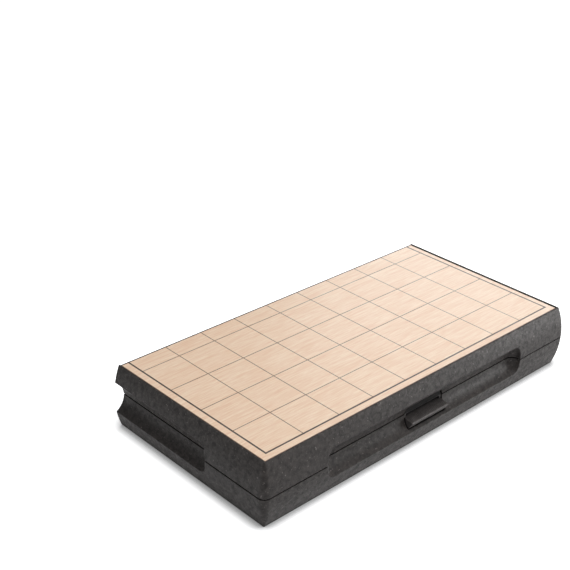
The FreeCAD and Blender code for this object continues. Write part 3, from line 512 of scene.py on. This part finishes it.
# Playing men: pale moulded plastic, edges softly rounded; and the magnets under them
menLook = {
    "pale": srgb(240, 228, 206),
    "deep": srgb(226, 208, 180),
    "worn": srgb(247, 240, 226),
    "grainSize": 0.0005,
    "grainDepth": 0.00002,
    "mottleSize": 0.006,
    "vein": {"length": 0.02, "width": 0.0012, "waviness": 0.4},
    "veinRange": (0.4, 0.7),
    "wear": 0.5,
    "wearReach": 0.0004,
    "wearUnevenness": 0.4,
    "wearPatch": 0.008,
    "roughness": (0.34, 0.44),
    "subsurface": 0.06,
    "subsurfaceRadius": (0.002, 0.0012, 0.0008),
    "weldReach": 0.000005,
    "edgeRound": 0.0004,
    "edgeSegments": 3,
    "edgeAngle": 30.0,  # degrees
}
menNames = ("pawns", "kings", "golds", "silvers", "rooks", "knights", "lances", "bishops")


def makeMenPlastic(name, look):
    material, tree, surface = newMaterial(name)
    grain = place(tree, mouldedGrain, grainSize=look["grainSize"], mottleSize=look["mottleSize"],
                  speckAmount=0.0)
    veins = place(tree, streaks, **look["vein"])["Streak"]
    wear = place(tree, edgeWear, reach=look["wearReach"], unevenness=look["wearUnevenness"],
                 patchSize=look["wearPatch"])["Wear"]
    body = tint(tree, remap(tree, veins, *look["veinRange"]), look["pale"], look["deep"])
    rubbed = tint(tree, calc(tree, "MULTIPLY", wear, look["wear"]), body, look["worn"])
    feed(tree, rubbed, surface["Base Color"])
    feed(tree, remap(tree, grain["Mottle"], 0.0, 1.0, *look["roughness"]), surface["Roughness"])
    bump = addNode(tree, "ShaderNodeBump", {"Height": grain["Height"], "Distance": look["grainDepth"]})
    feed(tree, bump.outputs["Normal"], surface["Normal"])
    surface["Subsurface Weight"].default_value = look["subsurface"]
    surface["Subsurface Radius"].default_value = look["subsurfaceRadius"]
    return material


def roundEdges(target, look):
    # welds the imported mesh's split corners, then rounds its sharp edges
    weld = target.modifiers.new("weld", "WELD")
    weld.merge_threshold = look["weldReach"]
    bevel = target.modifiers.new("roundEdges", "BEVEL")
    bevel.width = look["edgeRound"]
    bevel.segments = look["edgeSegments"]
    bevel.limit_method = "ANGLE"
    bevel.angle_limit = math.radians(look["edgeAngle"])


menPlastic = makeMenPlastic("menPlastic", menLook)
for name in menNames:
    nodes[name].material_slots[0].material = menPlastic
    roundEdges(nodes[name], menLook)

magnetLook = {
    "dark": (0.035, 0.035, 0.037, 1.0),
    "light": (0.075, 0.074, 0.076, 1.0),
    "grainSize": 0.0003,
    "grainDepth": 0.00003,
    "mottleSize": 0.0012,
    "speckAmount": 0.3,
    "roughness": (0.5, 0.65),
    "metallic": 0.15,
}


def makeMagnet(name, look):
    material, tree, surface = newMaterial(name)
    grain = place(tree, mouldedGrain, grainSize=look["grainSize"], mottleSize=look["mottleSize"],
                  speckAmount=look["speckAmount"])
    feed(tree, tint(tree, grain["Mottle"], look["dark"], look["light"]), surface["Base Color"])
    feed(tree, remap(tree, grain["Mottle"], 0.0, 1.0, *look["roughness"]), surface["Roughness"])
    surface["Metallic"].default_value = look["metallic"]
    bump = addNode(tree, "ShaderNodeBump", {"Height": grain["Height"], "Distance": look["grainDepth"]})
    feed(tree, bump.outputs["Normal"], surface["Normal"])
    return material


nodes["piece_magnets"].material_slots[0].material = makeMagnet("ferrite", magnetLook)
print("steel, men and magnets finished")

# Studio: white paper floor, pale surroundings, a broad soft light overhead and three weaker ones
studio = {
    "floorSize": 6.0,
    "floorColour": (0.93, 0.935, 0.945, 1.0),
    "contactColour": (0.02, 0.021, 0.024, 1.0),
    "floorLift": 0.66,  # the paper's own glow, seen straight from the camera
    "floorInGloss": 0.2,
    "floorRoughness": 0.9,
    "contactReach": 0.007,  # painted contact shadow: the paper's colour and glow darken this near to the object, for the camera alone
    "contactRange": (0.35, 0.95),
    "contactShade": 0.3,
    "contactSamples": 8,
    "surroundings": 0.22,
    "surroundingsInGloss": 0.36,
    "aim": (0.02, 0.0, 0.02),
    "lamps": {
        "key": {"place": (0.0, -0.3, 1.05), "size": (0.7, 0.7), "power": 8.7},
        "right": {"place": (0.5, -0.45, 0.9), "size": (0.6, 0.6), "power": 0.3},
        "backRight": {"place": (1.04, 0.61, 0.49), "size": (0.7, 0.6), "power": 2.85},
        "rightLow": {"place": (0.55, -0.38, 0.03), "size": (0.45, 0.045), "power": 1.7},
    },
}


def makeFloor(look):
    mesh = bpy.data.meshes.new("studioFloor")
    half = look["floorSize"] / 2
    made = bmesh.new()
    corners = [made.verts.new((x * half, y * half, 0.0)) for x, y in ((-1, -1), (1, -1), (1, 1), (-1, 1))]
    made.faces.new(corners)
    made.to_mesh(mesh)
    made.free()
    floor = bpy.data.objects.new("studioFloor", mesh)
    bpy.context.scene.collection.objects.link(floor)
    material, tree, surface = newMaterial("palePaper")
    openness = addNode(tree, "ShaderNodeAmbientOcclusion", {"Distance": look["contactReach"]},
                       samples=look["contactSamples"]).outputs["AO"]
    shade = remap(tree, openness, *look["contactRange"], look["contactShade"], 1.0)
    rays = addNode(tree, "ShaderNodeLightPath").outputs
    # painted contact shadow on the floor's colour and glow, seen by camera rays only
    dimmed = calc(tree, "MULTIPLY", rays["Is Camera Ray"], calc(tree, "SUBTRACT", 1.0, shade))
    feed(tree, tint(tree, dimmed, look["floorColour"], look["contactColour"]), surface["Base Color"])
    surface["Roughness"].default_value = look["floorRoughness"]
    surface["Specular IOR Level"].default_value = 0.0
    surface["Emission Color"].default_value = white
    seen = calc(tree, "MULTIPLY", calc(tree, "MULTIPLY", rays["Is Camera Ray"], look["floorLift"]), shade)
    glow = calc(tree, "MULTIPLY_ADD", rays["Is Glossy Ray"], look["floorInGloss"], seen)
    feed(tree, glow, surface["Emission Strength"])
    mesh.materials.append(material)


def makeSurroundings(look):
    # white to the camera and through glass, dimmer as a light and in gloss
    world = bpy.data.worlds.new("studioSurroundings")
    world.use_nodes = True
    tree = world.node_tree
    tree.nodes.clear()
    rays = addNode(tree, "ShaderNodeLightPath").outputs
    direct = calc(tree, "MAXIMUM", rays["Is Camera Ray"], rays["Is Transmission Ray"])
    inGloss = remap(tree, rays["Is Glossy Ray"], 0.0, 1.0, look["surroundings"], look["surroundingsInGloss"])
    strength = calc(tree, "MAXIMUM", direct, inGloss)
    background = addNode(tree, "ShaderNodeBackground", {"Color": white, "Strength": strength})
    output = addNode(tree, "ShaderNodeOutputWorld")
    tree.links.new(background.outputs["Background"], output.inputs["Surface"])
    bpy.context.scene.world = world


def addLamp(name, look, aim):
    data = bpy.data.lights.new(name, "AREA")
    data.shape = "RECTANGLE"
    data.size, data.size_y = look["size"]
    data.energy = look["power"]
    lamp = bpy.data.objects.new(name, data)
    lamp.location = look["place"]
    lamp.rotation_euler = (Vector(aim) - Vector(look["place"])).to_track_quat("-Z", "Y").to_euler()
    bpy.context.scene.collection.objects.link(lamp)


makeFloor(studio)
makeSurroundings(studio)
for name, look in studio["lamps"].items():
    addLamp(name, look, studio["aim"])
print("studio made")
